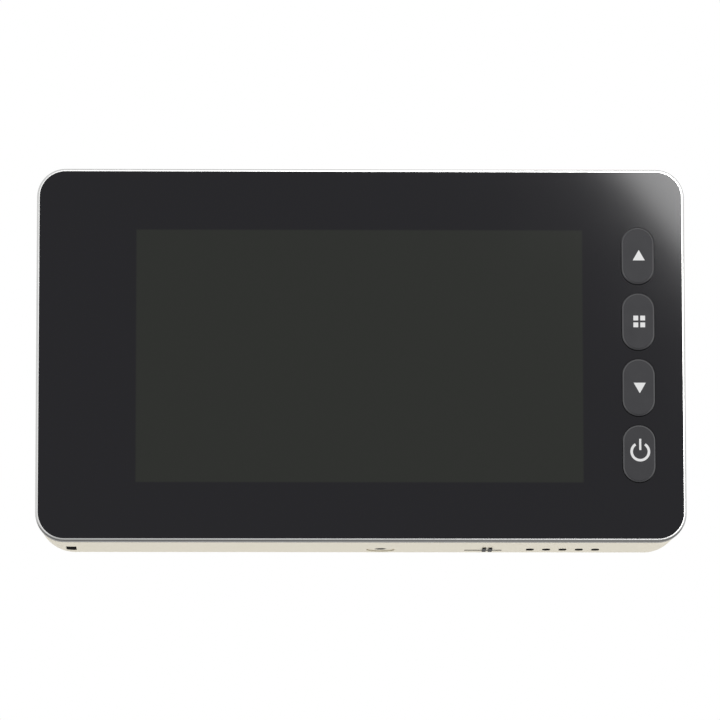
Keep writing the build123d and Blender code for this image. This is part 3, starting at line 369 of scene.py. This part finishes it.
# Signs of the keys
# Printed on the caps in thin white ink, a little right of their middle: a triangle up, four squares,
# a triangle down and a power sign. Each goes in with its key.
ink_thick = 0.03 * mm
sign_shift = 0.2 * mm
same_place = 0.0001 * mm
ink = Finish("sign_ink", grey(0.61), roughness=0.5)
ink.uneven(low=0.45, spread=0.1, noise=ink.noise(0.6 * mm))


def piece(name, points, faces):
    """A mesh object from arrays of points and of four-cornered faces. Points in one place become
    one, so that a screw closes at its axis."""
    mesh = bpy.data.meshes.new(name)
    mesh.from_pydata(points.tolist(), [], faces.tolist())
    shape = bmesh.new()
    shape.from_mesh(mesh)
    bmesh.ops.remove_doubles(shape, verts=shape.verts, dist=same_place)
    shape.to_mesh(mesh)
    shape.free()
    made = bpy.data.objects.new(name, mesh)
    bpy.context.scene.collection.objects.link(made)
    return made


def raised(name, across, up, front, back):
    """Flat sign between two depths. A grid of X and Z makes its face and its back, and a wall joins
    their borders."""
    rows, columns = across.shape
    count = rows * columns
    points = np.empty((2 * count, 3))
    points[:, 0] = np.tile(across.ravel(), 2)
    points[:, 1] = np.repeat((front, back), count)
    points[:, 2] = np.tile(up.ravel(), 2)
    index = np.arange(count).reshape(rows, columns)
    low, right = index[:-1, :-1].ravel(), index[:-1, 1:].ravel()
    high, corner = index[1:, :-1].ravel(), index[1:, 1:].ravel()
    face = np.column_stack((low, right, corner, high))
    border = np.concatenate((index[0, :-1], index[:-1, -1], index[-1, :0:-1], index[:0:-1, 0]))
    ahead = np.roll(border, -1)
    wall = np.column_stack((border, border + count, ahead + count, ahead))
    return piece(name, points, np.concatenate((face, face[:, ::-1] + count, wall)))


def ink_on(name, key, across, up):
    """One sign on a key's cap, from grids in millimetres about the cap's middle."""
    low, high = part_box(key)
    x = (low.x + high.x) / 2 + sign_shift + across * mm
    z = (low.z + high.z) / 2 + up * mm
    sign = raised(name, x, z, low.y - ink_thick, low.y + ink_thick)
    sign.data.materials.append(ink.material)
    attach(sign, key)


def grid(first, second, steps=2, rises=2):
    """Two even grids, one along each parameter."""
    return np.meshgrid(np.linspace(*first, steps), np.linspace(*second, rises))


side_to_side = (-0.5, 0.5)
triangle_base = 2.58
triangle_rise = 2.27
triangle_drop = 1.0
triangle_top = 0.97
share, rise = grid(side_to_side, (0.0, triangle_top))
for name, key, turn in (("sign_up", "button_up", 1), ("sign_down", "button_down", -1)):
    width = triangle_base * (1 - rise) * share * turn
    ink_on(name, key, width, turn * (triangle_rise * rise - triangle_drop))

square_side = 1.03
square_step = 1.47
across, up = grid(side_to_side, side_to_side)
for column in (0, 1):
    for row in (0, 1):
        x = square_side * across + square_step * (column - 0.5)
        z = square_side * up + square_step * (row - 0.5)
        ink_on(f"sign_menu_{column}{row}", "button_menu", x, z)

power_radius = 1.84
power_stroke = 0.54
power_open = math.radians(33)
power_rise = 0.4
power_steps = 49
bar_stroke = 0.45
bar_low = 0.34
bar_high = 2.75
angle, thick = grid((power_open, 2 * math.pi - power_open), side_to_side, power_steps)
radius = power_radius + power_stroke * thick
ink_on("sign_power_ring", "button_power", radius * np.sin(angle), power_rise + radius * np.cos(angle))
across, up = grid(side_to_side, (bar_low, bar_high))
ink_on("sign_power_bar", "button_power", bar_stroke * across, power_rise + up)

# Screen module
# Two glass sheets in a pressed steel tray, and a thin amber flex that turns back to the main board.
# The rolled steel's grain runs along the strip.
trace_pitch = 1.0 * mm
bare_film = (0.45, 0.2, 0.04)
traced_film = (0.55, 0.3, 0.08)
grain_dark = grey(0.58)
grain_pale = (0.66, 0.66, 0.65)
screen = Finish("screen_glass", (0.02, 0.022, 0.018), roughness=0.1)
screen.uneven(low=0.08, spread=0.04, noise=screen.noise(12 * mm))
screen.on("lcd_panel")
steel = Finish("plated_steel", grey(0.62), roughness=0.3, metallic=1.0)
grain = steel.noise(0.4 * mm, detail=2.0, stretch=(0.05, 1.0, 1.0))
steel.uneven(low=0.25, spread=0.15, noise=grain)
steel.feed("Base Color", steel.between(grain, grain_dark, grain_pale))
steel.on("lcd_chassis")
flex = Finish("flex_film", bare_film, roughness=0.35)
trace = flex.along("X").wrapped(trace_pitch) > 0.5
flex.feed("Base Color", flex.between(trace, bare_film, traced_film))
flex.on("lcd_flex")

# Dark mouldings
# Glass-filled black plastic: the inner frame that carries the screen and the keys, the speaker, the
# header of the key board, and the outdoor lens's holder and barrel.
black = Finish("black_moulding", grey(0.018), roughness=0.5)
black.relief(black.noise(0.3 * mm), depth=0.01 * mm)
black.uneven(low=0.45, spread=0.1, noise=black.noise(2 * mm))
black.on("front_frame", "key_header", "speaker", "lens_holder", "lens_barrel")

# Adhesive, foam and rubber
# The panel's adhesive frame, the gaskets, the bracket's pad and the face's seal. All are die-cut
# from black sheet, so that their cut edges are slightly rough.
foam = Finish("foam", grey(0.025), roughness=0.9)
foam.relief(foam.noise(0.35 * mm), depth=0.05 * mm)
foam.uneven(low=0.85, spread=0.1, noise=foam.noise(1 * mm))
foam.on("panel_tape", "speaker_gasket", "bracket_pad", "outdoor_gasket", "face_seal")

# Boards and what is soldered to them
# Glass laminate with copper under a green mask, held by screws. It carries black resin packages, a
# steel can and switch, and nylon sockets.
copper_half = 0.03
mask_on_laminate = (0.012, 0.09, 0.035)
mask_on_copper = (0.03, 0.16, 0.07)
laminate = Finish("board_laminate", (0.02, 0.12, 0.05), roughness=0.4)
copper = abs(laminate.noise(3.0 * mm, detail=1.0) - 0.5) < copper_half
laminate.feed("Base Color", laminate.between(copper, mask_on_laminate, mask_on_copper))
laminate.on("main_board", "key_board", "camera_board")
resin = Finish("chip_resin", grey(0.03), roughness=0.55)
resin.relief(resin.noise(0.2 * mm), depth=0.01 * mm)
resin.on("board_chips", "key_switches", "image_sensor", "bell_switch")
steel.on("slide_switch", "shield_can", "board_screws", "camera_board_screws")
nylon = Finish("socket_nylon", (0.75, 0.74, 0.69), roughness=0.5)
nylon.uneven(low=0.45, spread=0.1, noise=nylon.noise(2 * mm))
nylon.on("flex_socket", "ribbon_socket", "ribbon_plug")

# Housing and battery cover
# Pale champagne paint with a fine fleck, the cover all over. On the housing, painted shade turns it near
# black inside the narrow openings of the underside, and fades it darker down the recess and wells of the
# back and down the lock screw's recess.
front_radius = 6.1 * mm
rear_radius = 8.3 * mm
edge_radius = 3.2 * mm
unshaded_skin = 0.04 * mm
shade_fade_start = 1.6 * mm
shade_fade_length = 7.0 * mm
underside_deep = 5.0 * mm
lock_recess = 3.4 * mm
recess_shade_black = grey(0.018)
champagne = (0.700, 0.643, 0.499)
champagne_fleck = (0.730, 0.673, 0.529)


def painted(name):
    """Champagne paint with a fine fleck. The finish and its colour come back."""
    paint = Finish(name, (0.70, 0.655, 0.54), roughness=0.42, Specular_IOR_Level=0.4)
    fleck = paint.noise(0.5 * mm, detail=2.0)
    paint.uneven(low=0.38, spread=0.08, noise=fleck)
    paint.relief(fleck, depth=0.006 * mm)
    return paint, paint.between(fleck, champagne, champagne_fleck)


cover_paint, cover_colour = painted("champagne_cover")
cover_paint.feed("Base Color", cover_colour)
cover_paint.on("battery_cover")

body_low, body_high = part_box("rear_housing")
body_middle = (body_low + body_high) / 2
body_half = (body_high - body_low) / 2
lock_low, lock_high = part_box("lock_screw")
lock_middle = (lock_low + lock_high) / 2
paint, body_colour = painted("champagne_paint")
x, y, z = (paint.along(axis) for axis in "XYZ")
toward_back = (y - body_low.y) / (body_high.y - body_low.y)
radius = front_radius + (rear_radius - front_radius) * toward_back
from_x = abs(x - body_middle.x) - body_half.x + radius
from_z = abs(z - body_middle.z) - body_half.z + radius
outside = from_x.most(0.0).span(from_z.most(0.0))
side_depth = radius - outside - from_x.most(from_z).least(0.0)
short_of_side = (edge_radius - side_depth).most(0.0)
short_of_back = (y - body_high.y + edge_radius).most(0.0)
# Painted shade: near black inside the underside's narrow openings, and growing darker with depth down
# the back's recess and wells.
below_skin = short_of_side.span(short_of_back) < edge_radius - unshaded_skin
underneath = (z < body_low.z + underside_deep) * (y < body_high.y - edge_radius)
past_lock = (x - lock_middle.x).span(y - lock_middle.y) > lock_recess
deep = side_depth.least(body_high.y - y)
painted_recess_shade = (below_skin * underneath * past_lock).most((deep - shade_fade_start) / shade_fade_length)
paint.feed("Base Color", paint.between(painted_recess_shade, body_colour, recess_shade_black))
paint.on("rear_housing")

# Lock screw
# Steel socket screw that locks the monitor to the bracket's tab, its head painted like the housing.
# Within the socket's radius the colour turns mostly dark on the face and near black deeper down, and the
# shank is near black.
socket_radius = 1.3 * mm
socket_start = 0.02 * mm
socket_face_dark_share = 0.8
lock_head_height = 1.4 * mm
socket_dark = (0.03, 0.03, 0.032)
lock_paint, lock_colour = painted("lock_head_paint")
x, y, z = (lock_paint.along(axis) for axis in "XYZ")
# Darker within the socket's radius: mostly dark on the face, near black down in the socket and on the
# shank.
in_socket = (x - lock_middle.x).span(y - lock_middle.y) < socket_radius
socket_darkening = (z > lock_low.z + socket_start).most(socket_face_dark_share)
shank = z > lock_low.z + lock_head_height
dark_socket_and_shank = (in_socket * socket_darkening).most(shank)
lock_paint.feed("Base Color", lock_paint.between(dark_socket_and_shank, lock_colour, socket_dark))
lock_paint.on("lock_screw")

# Power slider
# Black moulded knob with two ribs for the fingertip. It runs in the underside's slot, and its stem
# moves the slide switch on the main board.
knob = Finish("knob_plastic", grey(0.014), roughness=0.6, Specular_IOR_Level=0.12)
knob.uneven(low=0.55, spread=0.1, noise=knob.noise(1 * mm))
knob.on("power_slider")

# Screws of the housing and of the door
# Cold-headed steel screws with a domed head and a punched cross. Four hold the housing down its
# wells, and two long ones clamp the outdoor camera to the bracket.
cross_reach = 0.62
cross_half = 0.15
cross_ease = 0.08
cross_depth = 0.7
head_dome = 0.35
screw_rings = 22
screw_turns = 72
crease = math.radians(40)
thread_pitch = 0.45 * mm
wire = Finish("screw_steel", grey(0.55), roughness=0.3, metallic=1.0)
wire.relief(wire.along("Y").ridge(thread_pitch), depth=0.05 * mm)
wire.uneven(low=0.25, spread=0.12, noise=wire.noise(0.6 * mm))
wire.on("housing_screws", "clamp_screws")


def headed_screw(name, x, z, ends, head_radius, head_height, shank_radius, node, body):
    """Screw along Y from its head to its point. Its profile turns once round its axis: a domed face
    out to the head's edge, then the head's back, the shank and the point. The face sinks by the
    cross's depth where one of two crossed coordinates is under half the slot's width and the other is
    within its reach."""
    head_y, end_y = ends
    toward = math.copysign(1.0, end_y - head_y)
    share = np.linspace(0.0, 1.0, screw_rings)
    face_y = head_y + toward * head_dome * head_height * share ** 2
    back_y = head_y + toward * head_height
    tip_y = end_y - toward * shank_radius
    rings = np.concatenate((head_radius * share, (head_radius, shank_radius, shank_radius, 0.0)))
    depths = np.concatenate((face_y, (back_y, back_y, tip_y, end_y)))
    turn = np.linspace(0.0, 2 * math.pi, screw_turns, endpoint=False)
    wide = np.outer(rings, np.cos(turn))
    tall = np.outer(rings, np.sin(turn))
    deep = np.repeat(depths[:, None], screw_turns, axis=1)
    nearer = np.minimum(abs(wide), abs(tall)) / head_radius
    farther = np.maximum(abs(wide), abs(tall)) / head_radius
    in_width = np.clip((cross_half - nearer) / cross_ease, 0, 1)
    in_reach = np.clip((cross_reach - farther) / cross_ease, 0, 1)
    cross = in_width * in_reach
    cross[screw_rings:] = 0.0
    deep += toward * cross * cross_depth * head_height
    points = np.column_stack((x + wide.ravel(), deep.ravel(), z + tall.ravel()))
    index = np.arange(points.shape[0]).reshape(wide.shape)
    near, far = index[:-1], index[1:]
    near_next, far_next = np.roll(near, -1, axis=1), np.roll(far, -1, axis=1)
    faces = np.stack((near, far, far_next, near_next), axis=-1).reshape(-1, 4)
    made = piece(name, points, faces if toward > 0 else faces[:, ::-1])
    made.data.shade_smooth()
    made.data.set_sharp_from_angle(angle=crease)
    made.data.materials.append(wire.material)
    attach(made, body)
    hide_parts(node)


well_head, well_height, well_shank = 1.9 * mm, 1.2 * mm, 1.0 * mm
low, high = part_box("housing_screws")
for side, x in (("left", low.x + well_head), ("right", high.x - well_head)):
    for level, z in (("low", low.z + well_head), ("top", high.z - well_head)):
        headed_screw(f"housing_screw_{side}_{level}", x, z, (high.y, low.y),
                     well_head, well_height, well_shank, "housing_screws", "monitor")

clamp_head, clamp_height, clamp_shank = 2.3 * mm, 1.4 * mm, 1.2 * mm
low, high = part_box("clamp_screws")
for level, z in (("low", low.z + clamp_head), ("top", high.z - clamp_head)):
    headed_screw(f"clamp_screw_{level}", (low.x + high.x) / 2, z, (low.y, high.y),
                 clamp_head, clamp_height, clamp_shank, "clamp_screws", "door_set")

# Cells
# Three dry cells side by side under the cover, in plain two-tone shrink sleeves, with bare steel at
# both ends.
bare_end = 1.8 * mm
band_length = 12 * mm
sleeve_dark = (0.08, 0.09, 0.11)
sleeve_pale = (0.55, 0.56, 0.58)
bare_can = (0.62, 0.61, 0.58)
low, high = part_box("battery_cells")
sleeve_half = (high.z - low.z) / 2 - bare_end
sleeve = Finish("cell_sleeve", (0.10, 0.11, 0.13), roughness=0.3)
from_middle = abs(sleeve.along("Z") - (low.z + high.z) / 2)
bare = from_middle > sleeve_half
band = from_middle > sleeve_half - band_length
sleeve.feed("Metallic", bare)
two_tone = sleeve.between(band, sleeve_dark, sleeve_pale)
sleeve.feed("Base Color", sleeve.between(bare, two_tone, bare_can))
sleeve.on("battery_cells")

# Cell contacts
# Nickel-plated spring steel at the ends of the bay: flat plates with a coil for each cell's base. The
# turns of the coils show as ridges round them.
coil_pitch = 0.9 * mm
coil_pale = (0.68, 0.65, 0.6)
coil_shade = (0.3, 0.28, 0.26)
nickel = Finish("contact_nickel", (0.66, 0.63, 0.58), roughness=0.25, metallic=1.0)
coil = nickel.along("Z").ridge(coil_pitch)
nickel.relief(coil, depth=0.25 * mm)
nickel.feed("Base Color", nickel.between(coil, coil_pale, coil_shade))
nickel.on("battery_contacts")

# Bracket
# Pressed from zinc-plated sheet, with four hooks for the monitor and a tab for the lock screw. The
# zinc has set in large pale crystals.
crystal_dark = (0.44, 0.44, 0.46)
crystal_pale = (0.6, 0.6, 0.61)
zinc = Finish("zinc_plate", (0.5, 0.5, 0.52), roughness=0.36, metallic=1.0)
spangle = zinc.noise(2.5 * mm)
zinc.uneven(low=0.3, spread=0.15, noise=spangle)
zinc.feed("Base Color", zinc.between(spangle, crystal_dark, crystal_pale))
zinc.on("bracket")

# Ribbon
# Flat cable through the door with a pale extruded jacket, its cores showing as faint ridges. It ends
# in the plug that the monitor's socket drops over.
core_pitch = 1.0 * mm
jacket_dark = (0.56, 0.56, 0.53)
jacket_pale = (0.64, 0.64, 0.61)
ribbon = Finish("ribbon_jacket", (0.6, 0.6, 0.57), roughness=0.5)
core = ribbon.along("X").ridge(core_pitch)
ribbon.relief(core, depth=0.08 * mm)
ribbon.feed("Base Color", ribbon.between(core, jacket_dark, jacket_pale))
ribbon.on("ribbon_cable")

# Barrel
# Die-cast and turned to fit the door's hole, so that fine rings run round it. The clamp screws go
# through it.
turned = Finish("turned_metal", (0.56, 0.56, 0.57), roughness=0.3, metallic=1.0)
turning = turned.noise(0.35 * mm, detail=1.0, stretch=(0.0, 1.0, 0.0))
turned.relief(turning, depth=0.012 * mm)
turned.uneven(low=0.25, spread=0.15, noise=turning)
turned.on("door_barrel")

# Outdoor camera and bell push
# Die-cast cup and bell push in satin silver paint, and a black acrylic face in the cup's rebate on a
# rubber seal.
flake_dark = (0.48, 0.48, 0.47)
flake_pale = (0.56, 0.56, 0.55)
silver = Finish("silver_paint", (0.52, 0.52, 0.51), roughness=0.38, metallic=0.55)
flake = silver.noise(0.18 * mm, detail=1.0)
silver.feed("Base Color", silver.between(flake, flake_dark, flake_pale))
silver.uneven(low=0.34, spread=0.1, noise=flake)
silver.on("outdoor_housing", "bell_button")
face_black = Finish("face_acrylic", grey(0.006), roughness=0.1, Specular_IOR_Level=0.25)
face_black.uneven(low=0.08, spread=0.04, noise=face_black.noise(15 * mm))
face_black.on("outdoor_face")

# Lenses and night lamps
# Two coated glass lenses in the barrel, and lamps cast in deep red resin round it, hidden behind the
# face.
coated = {"Transmission_Weight": 1.0, "IOR": 1.52, "Coat_Weight": 0.5}
lens = Finish("lens_glass", (0.75, 0.7, 0.95), roughness=0.02, **coated)
lens.uneven(low=0.01, spread=0.02, noise=lens.noise(4 * mm))
lens.on("lens_glass", "rear_lens")
lamp = Finish("lamp_resin", (0.1, 0.03, 0.09), roughness=0.1)
lamp.uneven(low=0.08, spread=0.04, noise=lamp.noise(2 * mm))
lamp.on("infrared_lamps")
